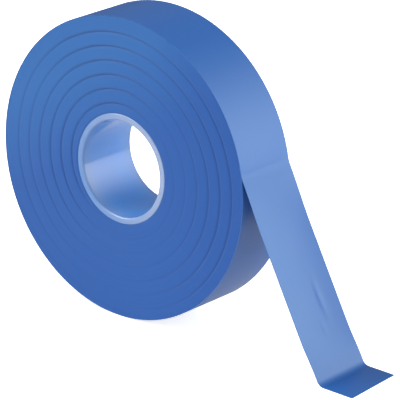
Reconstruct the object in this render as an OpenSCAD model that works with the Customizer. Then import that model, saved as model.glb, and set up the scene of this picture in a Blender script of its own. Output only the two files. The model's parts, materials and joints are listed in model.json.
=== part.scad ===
// Roll of blue PVC electrical insulating tape, 19 mm wide, on a plastic core.
// The roll stands on its rim: its axis runs along Y through the origin, and +Z is up.
// The tape leaves the right-hand side, runs straight down to the ground and ends in a flat tab.

/* [Tape] */
// Width of the tape, the core and the whole roll
tape_w = 19; // [12:1:50]
// Thickness of the PVC film
film_t = 0.10; // [0.08:0.01:0.20]
// Thickness of the adhesive coat under the film
adhesive_t = 0.03; // [0.02:0.01:0.05]

/* [Roll] */
// Outside diameter of the full roll
roll_d = 81; // [80:0.5:100]
// Inside diameter of the core
core_id = 26; // [25:0.5:27]
// Wall thickness of the core
core_wall = 1.75; // [1:0.25:2]
// Chamfer at the mouths of the core's bore
core_chamfer = 0.4; // [0.2:0.1:0.6]
// Radial distance between neighbouring turns of the spiral groove on the sides
turn_pitch = 3.75; // [3.5:0.05:3.8]

/* [Tail] */
// Place on the rim where the tape lifts off, in degrees above the +X axis
lift_angle = 11; // [0:1:20]
// Slope of the free tail below the horizontal, in degrees
tail_slope = 60.6; // [45:0.1:65]
// Length of the tail's upper end, which swings but doesn't slide
tail_root_len = 12; // [6:1:20]
// Length of the flat tab at the free end, along its front edge
tab_len = 10.3; // [6:0.1:20]
// How much shorter the tab is along its rear edge, because its end is cut askew
tab_skew = 1; // [0:0.1:3]

/* [Hidden] */
$fn = 180;
tape_t = film_t + adhesive_t;
roll_r = roll_d / 2;
core_r = core_id / 2 + core_wall;

// The rigid outer lap turns on the pack, so it gets a running clearance.
lap_clearance = 0.03;
pack_r = roll_r - 2 * tape_t - lap_clearance;
turn_count = 6;
inner_groove_r = roll_r - (turn_count - 1) * turn_pitch;

// A bend in the tape is a hinge line, and the solids stop this far from it on each side.
hinge_gap = 0.2;
// Where the straight or wound tape is parted, the next length starts this far on.
part_gap = 0.05;

// Middle of the tape's thickness where it lifts off, and at the crease above the ground.
lift_r = roll_r - tape_t / 2;
lift_x = lift_r * cos(lift_angle);
lift_z = lift_r * sin(lift_angle);
crease_z = -roll_r + tape_t / 2;
tail_len = (lift_z - crease_z) / sin(tail_slope);
crease_x = lift_x + tail_len * cos(tail_slope);

// Layers of the tape, as [inner face, outer face] measured outwards from the middle of its thickness.
ADHESIVE = [-tape_t / 2, -tape_t / 2 + adhesive_t];
FILM = [-tape_t / 2 + adhesive_t, tape_t / 2];

TAPE_BLUE = "#4069b4";
ADHESIVE_BLUE = "#6f8fc4";
CORE_WHITE = "#c8d4ea";

// Extrudes a shape drawn in the X-Z plane across the width of the tape.
module across_tape() {
    rotate([90, 0, 0]) linear_extrude(tape_w, center = true) children();
}

// Half disc above the X axis, centred at x. A mirrored copy gives the half below.
module half_disc(x, r) {
    intersection() {
        translate([x, 0]) circle(r);
        translate([-2 * roll_r, 0]) square([4 * roll_r, 2 * roll_r]);
    }
}

// Disc whose edge is one turn of a spiral: radius r at the +X axis, less by pitch after one turn
// counter-clockwise. Each half turn is an arc, and the two arcs have centres half a pitch apart.
module spiral_disc(r, pitch) {
    half_disc(pitch / 4, r - pitch / 4);
    mirror([0, 1]) half_disc(-pitch / 4, r - 3 * pitch / 4);
}

// Core: a plain tube with chamfered bore mouths.
module core_tube() {
    bore_r = core_id / 2;
    half_w = tape_w / 2;
    color(CORE_WHITE) rotate([90, 0, 0]) rotate_extrude() polygon([
        [bore_r, -half_w + core_chamfer],
        [bore_r + core_chamfer, -half_w],
        [core_r, -half_w],
        [core_r, half_w],
        [bore_r + core_chamfer, half_w],
        [bore_r, half_w - core_chamfer]
    ]);
}

// Wound tape between two turns of the spiral groove. Turn 1 lies on the core, and turn 6 fills the pack.
// Each turn starts at the +X axis and stops just short of it, where the next turn takes over.
module wound_turn(n) {
    groove_r = inner_groove_r + (n - 1) * turn_pitch;
    color(TAPE_BLUE) across_tape() difference() {
        if (n == turn_count) circle(pack_r); else spiral_disc(groove_r, turn_pitch);
        if (n == 1) circle(core_r); else spiral_disc(groove_r - turn_pitch, turn_pitch);
        translate([0, -part_gap]) square([roll_d, part_gap]);
    }
}

// Outermost lap of the tape: one turn that ends at the lift-off line and tucks under itself there.
module outer_lap(layer) {
    cut_reach = 2 * roll_r;
    tucked_angle = 2;
    gap_angle = atan(hinge_gap / lift_r);
    across_tape() rotate(lift_angle) difference() {
        spiral_disc(lift_r + layer[1], tape_t);
        spiral_disc(lift_r + layer[0], tape_t);
        polygon([
            [0, 0],
            cut_reach * [cos(tucked_angle), -sin(tucked_angle)],
            cut_reach * [cos(gap_angle), sin(gap_angle)]
        ]);
    }
}

// Straight length of one layer of the tape, from distance a to distance b along it.
module strip(layer, a, b) {
    translate([a, layer[0]]) square([b - a, layer[1] - layer[0]]);
}

// Moves a strip drawn from the origin to the lift-off line, sloping down along the tail.
module along_tail() {
    across_tape() translate([lift_x, lift_z]) rotate(-tail_slope) children();
}

module tail_root(layer) {
    along_tail() strip(layer, hinge_gap, tail_root_len);
}

module tail(layer) {
    along_tail() strip(layer, tail_root_len + part_gap, tail_len - hinge_gap);
}

// The tab's end is cut by a block turned askew about the tab's front corner.
module end_tab(layer) {
    cut_size = 2 * tape_w;
    difference() {
        across_tape() translate([crease_x, crease_z]) strip(layer, hinge_gap, tab_len);
        translate([crease_x + tab_len, -tape_w / 2, crease_z]) rotate([0, 0, atan(tab_skew / tape_w)])
            translate([0, -cut_size / 2, -cut_size / 2]) cube([cut_size, 2 * cut_size, cut_size]);
    }
}

core_tube();
wound_turn(1);  // wound_turn_1
wound_turn(2);  // wound_turn_2
wound_turn(3);  // wound_turn_3
wound_turn(4);  // wound_turn_4
wound_turn(5);  // wound_turn_5
wound_turn(6);  // wound_turn_6
color(TAPE_BLUE) outer_lap(FILM);  // outer_lap_film
color(ADHESIVE_BLUE) outer_lap(ADHESIVE);  // outer_lap_adhesive
color(TAPE_BLUE) tail_root(FILM);  // tail_root_film
color(ADHESIVE_BLUE) tail_root(ADHESIVE);  // tail_root_adhesive
color(TAPE_BLUE) tail(FILM);  // tail_film
color(ADHESIVE_BLUE) tail(ADHESIVE);  // tail_adhesive
color(TAPE_BLUE) end_tab(FILM);  // end_tab_film
color(ADHESIVE_BLUE) end_tab(ADHESIVE);  // end_tab_adhesive
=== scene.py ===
"""Looks of a roll of blue PVC insulating tape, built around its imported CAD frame.

Lengths are in millimetres, and MM turns them into Blender's metres. The roll's axis runs along Y, and its
front faces -Y. Angles on the roll are in degrees, counter-clockwise from the +X axis as seen from the front.
"""

import json
import math

import bpy
from mathutils import Matrix, Vector, noise


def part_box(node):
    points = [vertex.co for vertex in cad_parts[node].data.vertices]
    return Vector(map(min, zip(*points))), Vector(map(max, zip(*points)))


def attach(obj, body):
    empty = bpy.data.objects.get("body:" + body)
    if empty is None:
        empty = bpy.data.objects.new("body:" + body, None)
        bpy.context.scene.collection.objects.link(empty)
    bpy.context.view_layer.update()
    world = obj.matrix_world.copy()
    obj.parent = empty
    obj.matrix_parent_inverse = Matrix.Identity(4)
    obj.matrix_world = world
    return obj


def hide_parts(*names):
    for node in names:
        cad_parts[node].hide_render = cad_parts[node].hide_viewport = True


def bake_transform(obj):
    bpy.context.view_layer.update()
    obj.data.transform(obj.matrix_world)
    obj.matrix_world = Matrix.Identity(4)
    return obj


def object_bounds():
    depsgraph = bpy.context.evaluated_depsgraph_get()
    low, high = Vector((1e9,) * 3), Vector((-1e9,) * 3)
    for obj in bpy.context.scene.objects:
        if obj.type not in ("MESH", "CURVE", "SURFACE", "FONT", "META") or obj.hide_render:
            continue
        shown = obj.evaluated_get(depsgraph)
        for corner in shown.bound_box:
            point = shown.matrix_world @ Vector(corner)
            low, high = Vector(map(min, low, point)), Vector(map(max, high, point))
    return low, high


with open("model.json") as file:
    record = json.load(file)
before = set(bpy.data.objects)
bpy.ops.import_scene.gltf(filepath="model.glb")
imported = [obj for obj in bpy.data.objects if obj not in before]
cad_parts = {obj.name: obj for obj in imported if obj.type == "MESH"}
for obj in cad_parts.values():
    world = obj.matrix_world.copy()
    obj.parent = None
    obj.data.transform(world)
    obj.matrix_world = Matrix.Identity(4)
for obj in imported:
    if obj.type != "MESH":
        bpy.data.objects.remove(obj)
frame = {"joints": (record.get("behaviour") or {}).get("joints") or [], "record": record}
cad_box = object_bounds()

MM = 0.001


def millimetres(vector):
    return Vector(vector) / MM


def smooth(low, high, value):
    """0 below low, 1 above high, with a smooth step between them."""
    t = min(max((value - low) / (high - low), 0.0), 1.0)
    return t * t * (3 - 2 * t)


# ---------------------------------------------------------------- sizes from the frame

JOINTS = {joint["name"]: joint for joint in frame["joints"]}
MOUNTS = {mount["name"]: mount for mount in frame["record"]["mounts"]}

FLOOR_Z = cad_box[0].z / MM
HALF_W = cad_box[1].y / MM
BORE_R = MOUNTS["spindle_bore"]["dims"]["r_mm"]
CORE_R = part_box("core_tube")[1].x / MM

# Middle of the tape's thickness where it lifts off the roll, and at the crease above the ground.
LIFT = millimetres(JOINTS["peel"]["pos_m"])
CREASE = millimetres(JOINTS["tab_fold"]["pos_m"])
LAP_R = math.hypot(LIFT.x, LIFT.z)
LIFT_ANGLE = math.degrees(math.atan2(LIFT.z, LIFT.x))
TAIL_DIR = Vector(JOINTS["payout"]["axis"]).normalized()
TAIL_LEN = (CREASE - LIFT).length
TAB_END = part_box("end_tab_film")[1].x / MM

# Layers of the tape, as inner and outer face measured outwards from the middle of its thickness.
HALF_T = CREASE.z - FLOOR_Z
LAYER_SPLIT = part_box("end_tab_adhesive")[1].z / MM - CREASE.z
FILM = (LAYER_SPLIT, HALF_T)
ADHESIVE = (-HALF_T, LAYER_SPLIT)

TURNS = 6
TURN_NODES = [f"wound_turn_{n + 1}" for n in range(TURNS)]
TURN_R = [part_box(node)[1].x / MM for node in TURN_NODES]
PITCH = TURN_R[1] - TURN_R[0]
INNER_GROOVE_R = TURN_R[0] - PITCH

# The wound turns end just under the outer face of the outer lap, at the place where that lap lies lowest.
# Elsewhere their rim is deeper in the lap's thickness or under it, so it never shows.
RIM_INSET = 0.01
RIM_R = LAP_R - HALF_T - RIM_INSET


# ---------------------------------------------------------------- meshes

SHARP_ANGLE = 40


def skin(name, loops, material, ring=False, shade=None):
    """A closed mesh through loops of points, each loop going round the same cross-section.

    Where shade is given, it holds one value of painted shade for each point, and the material reads it as an
    attribute.
    """
    count = len(loops[0])
    points = [Vector(p) * MM for loop in loops for p in loop]
    faces = []
    for i in range(len(loops) if ring else len(loops) - 1):
        a = i * count
        b = (i + 1) % len(loops) * count
        for j in range(count):
            k = (j + 1) % count
            faces.append((a + j, b + j, b + k, a + k))
    if not ring:
        last = (len(loops) - 1) * count
        for j in range(count // 2 - 1):
            k = count - 1 - j
            faces.append((j, j + 1, k - 1, k))
            faces.append((last + j + 1, last + j, last + k, last + k - 1))
    mesh = bpy.data.meshes.new(name)
    mesh.from_pydata(points, [], faces)
    if shade:
        mesh.attributes.new("shade", "FLOAT", "POINT").data.foreach_set("value", shade)
    mesh.materials.append(material)
    mesh.shade_smooth()
    mesh.set_sharp_from_angle(angle=math.radians(SHARP_ANGLE))
    mesh.validate()
    piece = bpy.data.objects.new(name, mesh)
    bpy.context.scene.collection.objects.link(piece)
    return piece


# ---------------------------------------------------------------- the wound tape

# Degrees between cross-sections, rows of faces in a band between two branches, and the narrowest band.
SECTION_STEP = 1.5
BAND_ROWS = 16
NARROWEST_BAND = 0.2

# Depths below the plane of the tape's edge: the sides as a whole, and the slow waves in them. The rear
# side's waves are read from another place in the noise, so that they differ from the front's.
SIDE_DEPTH = 0.05
WAVE_DEPTH = 0.02
WAVES_PER_MM = 0.06
REAR_WAVES_AT = 40

# How deep the sides are eased at the rim and at the core, and over what width.
RIM_EASE = 0.06
RIM_EASE_WIDTH = 0.35
CORE_EASE = 0.10
CORE_EASE_WIDTH = 0.5

# The spiral groove, and the step that leaning laps make at it.
GROOVE_DEPTH = 0.13
GROOVE_WIDTH = 0.30
STEP_DEPTH = 0.40
STEP_FADE = 1.7

# Where the groove drifts outwards, and where the laps lean: middle angle, and reach to each side of it.
GROOVE_DRIFT = 0.8
DRIFT_LOBE = (165, 125)
LEAN_LOBE = (108, 75)
LEAN_ELSEWHERE = 0.15

# Where the groove shows: middle angle, reach to each side, strength near the core, strength near the rim.
GROOVE_LOBES = [
    (5, 95, 0.15, 1.0),
    (100, 62, 0.65, 0.65),
    (190, 75, 0.9, 0.4),
]
FAINTEST_GROOVE = 0.10
NEAR_CORE_R = 19
NEAR_RIM_R = 35

# The groove fades out between these distances from the rim and from the core.
RIM_FADE = (2.6, 1.0)
CORE_FADE = (0.3, 1.5)

# The rear side has the same groove, with its clear stretches at other angles.
REAR_TURN = 150


def lobe(theta, centre, reach):
    """1 at an angle, falling smoothly to 0 at a reach to each side of it."""
    away = abs((theta - centre + 180) % 360 - 180) / reach
    return math.cos(min(away, 1.0) * math.pi / 2) ** 2


def groove_r(k, theta):
    """Radius of branch k of the spiral groove on the sides. Branch 1 is the edge of turn 1."""
    return INNER_GROOVE_R + PITCH * (k - theta / 360) + GROOVE_DRIFT * lobe(theta, *DRIFT_LOBE)


def groove_strength(k, theta, rear):
    """From 0 to 1: how clear branch k of the groove is at an angle."""
    r = groove_r(k, theta)
    outer = smooth(NEAR_CORE_R, NEAR_RIM_R, r)
    strength = FAINTEST_GROOVE
    for centre, reach, near_core, near_rim in GROOVE_LOBES:
        clearest = near_core + (near_rim - near_core) * outer
        strength += clearest * lobe(theta + rear * REAR_TURN, centre, reach)
    off_rim = 1 - smooth(RIM_R - RIM_FADE[0], RIM_R - RIM_FADE[1], r)
    off_core = smooth(CORE_R + CORE_FADE[0], CORE_R + CORE_FADE[1], r)
    return min(strength, 1.0) * off_rim * off_core


def side_shape(r, theta, rear):
    """How far the side of the wound tape lies below the plane of the tape's edge, and how much painted shade
    its groove gets.

    Each branch of the groove is a narrow line. Where the laps lean, the side also steps down at a branch
    and comes back up slowly towards the core.
    """
    phase = (r - groove_r(0, theta)) / PITCH
    branch = math.floor(phase)
    outwards = (phase - branch) * PITCH
    inwards = PITCH - outwards
    outer_strength = groove_strength(branch + 1, theta, rear)
    here = groove_strength(branch, theta, rear) * math.exp(-((outwards / GROOVE_WIDTH) ** 2))
    line = here + outer_strength * math.exp(-((inwards / GROOVE_WIDTH) ** 2))
    fully_back = math.exp(-PITCH / STEP_FADE)
    step = outer_strength * (math.exp(-inwards / STEP_FADE) - fully_back) + here * (1 - fully_back)
    lean = LEAN_ELSEWHERE + (1 - LEAN_ELSEWHERE) * lobe(theta + rear * REAR_TURN, *LEAN_LOBE)
    a = math.radians(theta)
    spot = Vector((r * math.cos(a), rear * REAR_WAVES_AT, r * math.sin(a)))
    waves = WAVE_DEPTH * (1 + noise.noise(spot * WAVES_PER_MM))
    at_rim = RIM_EASE * smooth(RIM_R - RIM_EASE_WIDTH, RIM_R, r)
    at_core = CORE_EASE * (1 - smooth(CORE_R, CORE_R + CORE_EASE_WIDTH, r))
    return SIDE_DEPTH + waves + at_rim + at_core + GROOVE_DEPTH * line + STEP_DEPTH * lean * step, line


def band_edges(n, theta):
    """Radii that part turn n into bands, from the inside outwards.

    The innermost and the outermost branch run off the pack, so the bands there keep a least width.
    """
    if n == 0:
        return [CORE_R, max(groove_r(0, theta), CORE_R + NARROWEST_BAND), groove_r(1, theta)]
    if n == TURNS - 1:
        return [groove_r(n, theta), min(groove_r(TURNS, theta), RIM_R - NARROWEST_BAND), RIM_R]
    return [groove_r(n, theta), groove_r(n + 1, theta)]


def turn_loop(n, theta):
    """Cross-section of turn n, out along the front side and back along the rear side, and its shading."""
    edges = band_edges(n, theta)
    radii = [edges[0]]
    for low, high in zip(edges, edges[1:]):
        for row in range(1, BAND_ROWS + 1):
            share = (1 - math.cos(math.pi * row / BAND_ROWS)) / 2
            radii.append(low + (high - low) * share)
    a = math.radians(theta)
    front = []
    rear = []
    for r in radii:
        for side, is_rear in ((front, False), (rear, True)):
            depth, shade = side_shape(r, theta, is_rear)
            y = HALF_W - depth if is_rear else depth - HALF_W
            side.append(((r * math.cos(a), y, r * math.sin(a)), shade))
    return front + rear[::-1]


def wound_turn(n, material):
    steps = round(360 / SECTION_STEP)
    loops = [turn_loop(n, i * SECTION_STEP) for i in range(steps + 1)]
    points = [[point for point, _ in loop] for loop in loops]
    shade = [value for loop in loops for _, value in loop]
    piece = skin(f"turn_{n + 1}", points, material, shade=shade)
    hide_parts(TURN_NODES[n])
    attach(piece, "roll")


# ---------------------------------------------------------------- the core

MOUTH_ROUND = 0.5
OUTER_ROUND = 0.25
CORE_SECTIONS = 360
ROUND_STEPS = 8


def core(material):
    """The tube, turned from a rounded cross-section."""
    corners = [
        (BORE_R + MOUTH_ROUND, -HALF_W + MOUTH_ROUND, MOUTH_ROUND, 180),
        (CORE_R - OUTER_ROUND, -HALF_W + OUTER_ROUND, OUTER_ROUND, 270),
        (CORE_R - OUTER_ROUND, HALF_W - OUTER_ROUND, OUTER_ROUND, 0),
        (BORE_R + MOUTH_ROUND, HALF_W - MOUTH_ROUND, MOUTH_ROUND, 90),
    ]
    profile = []
    for r, y, radius, start in corners:
        for i in range(ROUND_STEPS + 1):
            a = math.radians(start + 90 * i / ROUND_STEPS)
            profile.append((r + radius * math.cos(a), y + radius * math.sin(a)))
    loops = []
    for i in range(CORE_SECTIONS):
        a = 2 * math.pi * i / CORE_SECTIONS
        loops.append([(r * math.cos(a), y, r * math.sin(a)) for r, y in profile])
    piece = skin("core", loops, material, ring=True)
    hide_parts("core_tube")
    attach(piece, "roll")


# ---------------------------------------------------------------- the tape's path

# Radii of the bends where the tape lifts off and at the crease, and how far the tab's end is cut askew.
KINK_R = 7.0
CREASE_R = 2.4
TAB_SKEW = 1.0

LAP_HEADING = math.radians(LIFT_ANGLE - 90)
TAIL_HEADING = math.atan2(TAIL_DIR.z, TAIL_DIR.x)
KINK_CUT = KINK_R * math.tan((TAIL_HEADING - LAP_HEADING) / 2)
CREASE_CUT = CREASE_R * math.tan(-TAIL_HEADING / 2)

# Where one piece of tape ends and the next begins: degrees before the lift-off line, then distances down
# the tail.
LAP_END = 4
ROOT_END = 6.0
SPAN_END = 26.0

# Spacing of the stations on the roll, in degrees, and the last one's place before the lift-off bend.
LAP_STEP = 1.5
LIFT_STEP = 0.5
LAST_ON_ROLL = 1.5

# Spacing of the stations down the tail, and their numbers in the bends and along the tab.
TAIL_STEP = 0.5
LOW_TAIL_STEP = 0.4
KINK_STEPS = 8
CREASE_STEPS = 16
TAB_STEPS = 16


class Station:
    """A place along the tape: a point in the middle of its thickness, and its directions ahead and outwards.

    along is the distance down the tape from the lift-off line, and is below 0 on the roll. skew is 0 up to
    the tab, and grows to 1 at its askew end.
    """

    def __init__(self, point, heading, along, skew=0.0):
        self.point = point
        self.ahead = Vector((math.cos(heading), 0, math.sin(heading)))
        self.out = Vector((-math.sin(heading), 0, math.cos(heading)))
        self.along = along
        self.skew = skew


def lap_station(turned):
    """A place on the outer lap, so many degrees back from the lift-off line."""
    a = math.radians(LIFT_ANGLE + turned)
    r = LAP_R - 2 * HALF_T * turned / 360
    point = Vector((r * math.cos(a), 0, r * math.sin(a)))
    return Station(point, a - math.pi / 2, -LAP_R * math.radians(turned))


def bend(corner, heading_in, heading_out, radius, along, count):
    """Stations round a rounded corner of the path, which turns left."""
    cut = radius * math.tan((heading_out - heading_in) / 2)
    ahead = Vector((math.cos(heading_in), 0, math.sin(heading_in)))
    side = Vector((-math.sin(heading_in), 0, math.cos(heading_in)))
    centre = corner - ahead * cut + side * radius
    stations = []
    for i in range(count + 1):
        share = i / count
        heading = heading_in + (heading_out - heading_in) * share
        out = Vector((-math.sin(heading), 0, math.cos(heading)))
        stations.append(Station(centre - out * radius, heading, along + cut * (2 * share - 1)))
    return stations


def straight(low, high, step):
    """Stations down the straight tail, between two distances from the lift-off line."""
    count = max(1, round((high - low) / step))
    places = [low + (high - low) * i / count for i in range(count + 1)]
    return [Station(LIFT + TAIL_DIR * p, TAIL_HEADING, p) for p in places]


def lap_stations():
    count = round(360 / LAP_STEP)
    return [lap_station(360 + LAP_END - i * LAP_STEP) for i in range(count + 1)]


def lift_stations():
    count = round((LAP_END - LAST_ON_ROLL) / LIFT_STEP)
    on_roll = [lap_station(LAP_END - i * LIFT_STEP) for i in range(count + 1)]
    kink = bend(LIFT, LAP_HEADING, TAIL_HEADING, KINK_R, 0, KINK_STEPS)
    return on_roll + kink + straight(KINK_CUT, ROOT_END, TAIL_STEP)[1:]


def span_stations():
    return straight(ROOT_END, SPAN_END, TAIL_STEP)


def end_stations():
    down = straight(SPAN_END, TAIL_LEN - CREASE_CUT, LOW_TAIL_STEP)
    crease = bend(CREASE, TAIL_HEADING, 0, CREASE_R, TAIL_LEN, CREASE_STEPS)
    start = CREASE.x + CREASE_CUT
    tab = []
    for i in range(1, TAB_STEPS + 1):
        share = i / TAB_STEPS
        x = start + (TAB_END - start) * share
        tab.append(Station(Vector((x, 0, CREASE.z)), 0.0, TAIL_LEN + x - CREASE.x, share))
    return down + crease[1:] + tab


# ---------------------------------------------------------------- the tape as a sheet

EDGE_INSET = 0.05
COLUMNS = 64

# The free tape's crown comes and goes between these distances from the lift-off line and from the crease.
TAIL_CROWN = 0.75
CROWN_STARTS = (1, 16)
CROWN_ENDS = (12, 2)

# Shallow dents in the free tape: distance down it, place across it, length, width, depth and turn in degrees.
DENTS = [
    (35.2, 2.1, 4.3, 0.95, 0.22, 2.0),
    (42.6, -0.4, 2.0, 0.70, 0.08, 4.0),
    (-0.4, -1.5, 0.55, 7.0, 0.035, 2.0),
    (1.7, 5.0, 0.6, 3.5, 0.03, 2.0),
]

# Distances along the tape that mark where a piece passes from one body to the next. The places are worked out
# from them, but no piece is turned between bodies.
KINK_BLEND = (-0.3, 2.6)
SPAN_BLEND = (ROOT_END + 1, SPAN_END - 1)
CREASE_BLEND = 1.6


def sheet_lift(along, y):
    """How far the free tape bulges outwards from its flat path."""
    begun = smooth(*CROWN_STARTS, along)
    ended = smooth(TAIL_LEN - CROWN_ENDS[0], TAIL_LEN - CROWN_ENDS[1], along)
    lift = TAIL_CROWN * begun * (1 - ended) * (1 / 3 - (y / HALF_W) ** 2)
    for centre, across, length, width, depth, turn in DENTS:
        a = math.radians(turn)
        u = (along - centre) * math.cos(a) + (y - across) * math.sin(a)
        v = (y - across) * math.cos(a) - (along - centre) * math.sin(a)
        lift -= depth * math.exp(-((u / length) ** 2) - (v / width) ** 2)
    return lift


def sheet(name, stations, layer, material):
    """One layer of the tape through a row of stations."""
    half = HALF_W - EDGE_INSET
    ys = [-half + 2 * half * j / COLUMNS for j in range(COLUMNS + 1)]
    loops = []
    for s in stations:
        faces = []
        for offset in layer:
            row = []
            for y in ys:
                back = TAB_SKEW * s.skew * (y + half) / (2 * half)
                p = s.point + s.out * (offset + sheet_lift(s.along, y)) - s.ahead * back
                row.append((p.x, y, p.z))
            faces.append(row)
        loops.append(faces[1] + faces[0][::-1])
    return skin(name, loops, material)


def tape(film, adhesive):
    """The outer lap and the free tape: film and adhesive, in runs. The lap rides on its body, and the other
    runs stay where they are built.
    """
    kink = [LIFT + TAIL_DIR * along for along in KINK_BLEND]
    span = [LIFT + TAIL_DIR * along for along in SPAN_BLEND]
    crease = [CREASE - TAIL_DIR * CREASE_BLEND, CREASE + Vector((CREASE_BLEND, 0, 0))]
    # Each run: name, stations, nodes it stands for, bodies, and the places where it leaves one for the next.
    runs = [
        ("lap", lap_stations(), ["outer_lap"], ["outer_lap"], None),
        ("lift_off", lift_stations(), ["tail_root"], ["outer_lap", "tail_root"], kink),
        ("tail_span", span_stations(), ["tail"], ["tail_root", "tail"], span),
        ("tail_end", end_stations(), ["tail", "end_tab"], ["tail", "end_tab"], crease),
    ]
    layers = [("film", FILM, film, "tape_film"), ("adhesive", ADHESIVE, adhesive, "tape_adhesive")]
    for run, stations, nodes, bodies, places in runs:
        for layer_name, layer, material, slot in layers:
            piece = sheet(f"{run}_{layer_name}", stations, layer, material)
            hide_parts(*[f"{node}_{layer_name}" for node in nodes])
            if places is None:
                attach(piece, bodies[0])
            else:
                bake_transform(piece)


# ---------------------------------------------------------------- materials

class Graph:
    """Builds one node tree. Inputs are plain values or other nodes' sockets."""

    def __init__(self, tree):
        self.tree = tree
        tree.nodes.clear()

    def add(self, kind, inputs=None, **settings):
        node = self.tree.nodes.new(kind)
        for key, value in settings.items():
            setattr(node, key, value)
        for key, value in (inputs or {}).items():
            if isinstance(value, bpy.types.NodeSocket):
                self.tree.links.new(value, node.inputs[key])
            else:
                node.inputs[key].default_value = value
        return node

    def place(self):
        """The place on the object, in metres, which every pattern follows."""
        return self.add("ShaderNodeTexCoord").outputs["Object"]

    def maths(self, operation, a, b=0.0):
        return self.add("ShaderNodeMath", {0: a, 1: b}, operation=operation).outputs[0]

    def vector(self, operation, a, b):
        return self.add("ShaderNodeVectorMath", {0: a, 1: b}, operation=operation).outputs[0]

    def along(self, place, direction):
        """How far a place lies along a direction."""
        inputs = {0: place, 1: direction}
        return self.add("ShaderNodeVectorMath", inputs, operation="DOT_PRODUCT").outputs["Value"]

    def noise(self, place, scale, detail):
        inputs = {"Vector": place, "Scale": scale, "Detail": detail}
        return self.add("ShaderNodeTexNoise", inputs).outputs["Fac"]

    def mix(self, share, a, b):
        """Colour a where share is 0, and b where it is 1."""
        return self.add("ShaderNodeMix", {0: share, 6: a, 7: b}, data_type="RGBA").outputs[2]

    def span(self, value, from_low, from_high, low, high):
        inputs = {"Value": value, "From Min": from_low, "From Max": from_high, "To Min": low, "To Max": high}
        return self.add("ShaderNodeMapRange", inputs).outputs[0]

    def bump(self, height, strength, distance):
        inputs = {"Height": height, "Strength": strength, "Distance": distance}
        return self.add("ShaderNodeBump", inputs).outputs[0]

    def surface(self, inputs):
        """Ends the tree with a principled surface."""
        surface = self.add("ShaderNodeBsdfPrincipled", inputs).outputs[0]
        self.add("ShaderNodeOutputMaterial", {"Surface": surface})


def new_material(name):
    material = bpy.data.materials.new(name)
    material.use_nodes = True
    return material, Graph(material.node_tree)


FILM_BLUE = (0.011, 0.077, 0.280, 1)
FILM_PALE = (0.014, 0.083, 0.296, 1)
SHEEN_TINT = (0.80, 1.0, 1.0, 1)
EDGE_BLUE = (0.0120, 0.0745, 0.277, 1)
# The deeper lap edge blue serves both the fine rings and the painted shade towards +X.
EDGE_RINGS_AND_SHADE = (0.0060, 0.059, 0.252, 1)
# Painted highlight on the lap edges towards the upper left.
EDGE_HIGHLIGHT = (0.0195, 0.100, 0.306, 1)
# Painted shade in the groove of the lap edges.
EDGE_SHADE = (0.006, 0.030, 0.130, 1)
ADHESIVE_BLUE = (0.030, 0.115, 0.380, 1)
ADHESIVE_PALE = (0.050, 0.145, 0.430, 1)
CORE_DEEP = (0.050, 0.205, 0.535, 1)
CORE_CLEAR = (0.073, 0.178, 0.402, 1)
# Milky: partly the plastic's own colour, partly painted light scattered in through the ends.
CORE_MILKY_LIT = (0.207, 0.270, 0.428, 1)


def film_material():
    """Satin vinyl with a fine calendered grain and faint streaks along the tape."""
    material, g = new_material("vinyl_film")
    place = g.place()
    streaks = g.noise(g.vector("MULTIPLY", place, (3, 900, 3)), scale=1.0, detail=3.0)
    grain = g.noise(place, scale=1800, detail=3.0)
    patches = g.noise(place, scale=60, detail=2.0)
    height = g.maths("ADD", g.maths("MULTIPLY", grain, 0.4), g.maths("MULTIPLY", streaks, 0.6))
    g.surface({
        "Base Color": g.mix(g.maths("MULTIPLY", streaks, 0.7), FILM_BLUE, FILM_PALE),
        "Roughness": g.span(patches, 0.2, 0.8, 0.285, 0.345),
        "IOR": 1.58,
        "Specular Tint": SHEEN_TINT,
        "Normal": g.bump(height, strength=0.07, distance=0.04 * MM),
    })
    return material


# Painted light on the lap edges: they get paler along a direction, a painted highlight towards the upper
# left, and deeper along +X, a painted shade, between these distances from the axis.
HIGHLIGHT_DIRECTION = (-0.5, 0, 0.866)
HIGHLIGHT_SPAN = (6, 28)
RIGHT_SHADE_SPAN = (10, 38)
RIGHT_SHADE_MOST = 0.8
# How strongly the painted shade darkens the lap edges in the groove.
GROOVE_SHADING = 0.45


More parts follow.
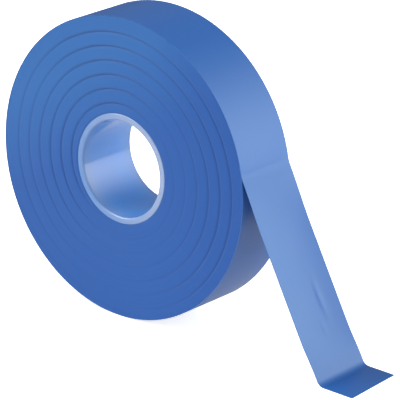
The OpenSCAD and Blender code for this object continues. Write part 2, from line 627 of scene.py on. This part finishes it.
def edge_material():
    """The slit edges of many laps: satin, with fine rings, painted shade in the groove, a painted highlight
    towards the upper left and painted shade towards +X.
    """
    material, g = new_material("vinyl_lap_edges")
    place = g.place()
    flat = g.vector("MULTIPLY", place, (1, 0, 1))
    radius = g.add("ShaderNodeVectorMath", {0: flat}, operation="LENGTH").outputs["Value"]
    fine = g.add("ShaderNodeCombineXYZ", {"X": g.maths("MULTIPLY", radius, 3000)}).outputs[0]
    slow = g.vector("MULTIPLY", place, (25, 0, 25))
    rings = g.noise(g.vector("ADD", fine, slow), scale=1.0, detail=3.0)
    patches = g.noise(place, scale=45, detail=2.0)
    highlight_from, highlight_to = (distance * MM for distance in HIGHLIGHT_SPAN)
    shade_from, shade_to = (distance * MM for distance in RIGHT_SHADE_SPAN)
    # Painted light: a painted highlight grows towards the upper left, and painted shade grows along +X.
    painted_highlight = g.span(g.along(place, HIGHLIGHT_DIRECTION), highlight_from, highlight_to, 0.0, 1.0)
    right_shade = g.span(g.along(place, (1, 0, 0)), shade_from, shade_to, 0.0, RIGHT_SHADE_MOST)
    shade = g.add("ShaderNodeAttribute", attribute_name="shade").outputs["Fac"]
    colour = g.mix(g.span(rings, 0.3, 0.7, 0.0, 0.35), EDGE_BLUE, EDGE_RINGS_AND_SHADE)
    colour = g.mix(right_shade, g.mix(painted_highlight, colour, EDGE_HIGHLIGHT), EDGE_RINGS_AND_SHADE)
    g.surface({
        # Painted shade: the groove's shade attribute darkens the colour.
        "Base Color": g.mix(g.maths("MULTIPLY", shade, GROOVE_SHADING), colour, EDGE_SHADE),
        "Roughness": g.span(patches, 0.3, 0.7, 0.44, 0.52),
        "IOR": 1.5,
        "Specular IOR Level": 0.3,
        "Normal": g.bump(rings, strength=0.25, distance=0.04 * MM),
    })
    return material


def adhesive_material():
    """Tacky rubber adhesive over the blue film, slightly mottled."""
    material, g = new_material("rubber_adhesive")
    place = g.place()
    mottle = g.noise(place, scale=700, detail=4.0)
    g.surface({
        "Base Color": g.mix(mottle, ADHESIVE_BLUE, ADHESIVE_PALE),
        "Roughness": 0.3,
        "IOR": 1.48,
        "Normal": g.bump(mottle, strength=0.3, distance=0.05 * MM),
    })
    return material


# The core gets milky from a distance off its middle towards its ends, and more so on one side of it: partly
# the plastic's own milky colour, partly painted light scattered in through the ends, lighter on the side
# where the light falls.
LIT_SIDE_DIRECTION = (0.94, 0, 0.34)
MILKY_FROM = 3
MILKY_POWER = 2.5
MILKY_CLOUDS = 1


def core_material():
    """Glossy plastic coloured as if clear: blue from the tape behind it, and milky at its two ends, partly
    its own colour and partly painted light scattered in through the ends.
    """
    material, g = new_material("milky_core_plastic")
    place = g.place()
    cloud = g.noise(place, scale=180, detail=3.0)
    draw_lines = g.noise(g.vector("MULTIPLY", place, (500, 20, 500)), scale=1.0, detail=2.0)
    # Painted light: the ends get milkier on the side where the light falls.
    side = g.span(g.along(place, LIT_SIDE_DIRECTION), -CORE_R * MM, CORE_R * MM, 0.0, 1.0)
    across = g.maths("ABSOLUTE", g.along(place, (0, 1, 0)))
    clouded = g.maths("ADD", across, g.maths("MULTIPLY", cloud, MILKY_CLOUDS * MM))
    near_end = g.span(clouded, MILKY_FROM * MM, HALF_W * MM, 0.0, 1.0)
    end_colour = g.mix(side, CORE_CLEAR, CORE_MILKY_LIT)
    g.surface({
        "Base Color": g.mix(g.maths("POWER", near_end, MILKY_POWER), CORE_DEEP, end_colour),
        "Roughness": 0.12,
        "IOR": 1.66,
        "Normal": g.bump(draw_lines, strength=0.05, distance=0.03 * MM),
    })
    return material


# ---------------------------------------------------------------- floor and light

FLOOR_R = 320
FLOOR_SIDES = 96
FLOOR_GLOW = 0.68
FLOOR_WHITE = (0.88, 0.88, 0.88, 1)
WHITE = (1, 1, 1, 1)


def floor():
    """A round white table top that glows a little for the camera alone.

    Its far edge, against the bright room behind, shows as a line in the core's bore.
    """
    turns = [2 * math.pi * i / FLOOR_SIDES for i in range(FLOOR_SIDES)]
    points = [Vector((FLOOR_R * math.cos(a), FLOOR_R * math.sin(a), FLOOR_Z)) * MM for a in turns]
    mesh = bpy.data.meshes.new("floor")
    mesh.from_pydata(points, [], [tuple(range(FLOOR_SIDES))])
    material, g = new_material("pale_floor")
    seen = g.add("ShaderNodeLightPath").outputs["Is Camera Ray"]
    g.surface({
        "Base Color": FLOOR_WHITE,
        "Roughness": 0.7,
        "Specular IOR Level": 0.2,
        "Emission Color": WHITE,
        "Emission Strength": g.maths("MULTIPLY", seen, FLOOR_GLOW),
    })
    mesh.materials.append(material)
    piece = bpy.data.objects.new("floor", mesh)
    bpy.context.scene.collection.objects.link(piece)


# Soft lights far away: direction towards the light, strength, and how fast it fades to the sides, as a
# power of the cosine.
SOFT_LIGHTS = [
    ((0.90, 0.38, 0.21), 4.5, 4),
    ((-0.60, -0.52, 0.60), 9.2, 12),
    ((0.62, -0.78, 0.04), 1.5, 5),
    ((0.30, 0.73, 0.62), 0.35, 12),
    ((-0.50, 0.65, 0.57), 0.20, 8),
]
ROOM_LIGHT = 0.12
BACKDROP = 1.0


def studio():
    """World light made of soft pools, with a white backdrop for the camera alone."""
    world = bpy.data.worlds.new("studio")
    world.use_nodes = True
    g = Graph(world.node_tree)
    toward = g.add("ShaderNodeTexCoord").outputs["Generated"]
    total = ROOM_LIGHT
    for direction, strength, power in SOFT_LIGHTS:
        cosine = g.maths("MAXIMUM", g.along(toward, tuple(Vector(direction).normalized())), 0.0)
        pool = g.maths("MULTIPLY", g.maths("POWER", cosine, power), strength)
        total = g.maths("ADD", pool, total)
    light = g.add("ShaderNodeBackground", {"Color": WHITE, "Strength": total}).outputs[0]
    backdrop = g.add("ShaderNodeBackground", {"Color": WHITE, "Strength": BACKDROP}).outputs[0]
    seen = g.add("ShaderNodeLightPath").outputs["Is Camera Ray"]
    both = g.add("ShaderNodeMixShader", {0: seen, 1: light, 2: backdrop}).outputs[0]
    g.add("ShaderNodeOutputWorld", {"Surface": both})
    bpy.context.scene.world = world
    bpy.context.scene.view_settings.view_transform = "Standard"


# ---------------------------------------------------------------- camera

# Angles are in degrees. The camera looks from the front right, and from slightly above.
CAMERA_AIM = Vector((18.94, 0, -5.97))
CAMERA_DISTANCE = 800
CAMERA_AZIMUTH = 39.07
CAMERA_ELEVATION = 20.55
CAMERA_ROLL = 1.95
CAMERA_LENS = 280.9
CAMERA_SENSOR = 36


def camera():
    a, e, roll = (math.radians(v) for v in (CAMERA_AZIMUTH, CAMERA_ELEVATION, CAMERA_ROLL))
    back = Vector((math.sin(a) * math.cos(e), -math.cos(a) * math.cos(e), math.sin(e)))
    level = Vector((math.cos(a), math.sin(a), 0))
    raised = back.cross(level)
    right = level * math.cos(roll) + raised * math.sin(roll)
    up = raised * math.cos(roll) - level * math.sin(roll)
    facing = Matrix((right, up, back)).transposed().to_4x4()
    data = bpy.data.cameras.new("camera")
    data.sensor_width = CAMERA_SENSOR
    data.lens = CAMERA_LENS
    data.clip_start = 0.01
    data.clip_end = 100
    piece = bpy.data.objects.new("camera", data)
    piece.matrix_world = Matrix.Translation((CAMERA_AIM + back * CAMERA_DISTANCE) * MM) @ facing
    bpy.context.scene.collection.objects.link(piece)
    bpy.context.scene.camera = piece


# ---------------------------------------------------------------- the scene

lap_edges = edge_material()
for turn in range(TURNS):
    wound_turn(turn, lap_edges)
core(core_material())
tape(film_material(), adhesive_material())
floor()
studio()
camera()
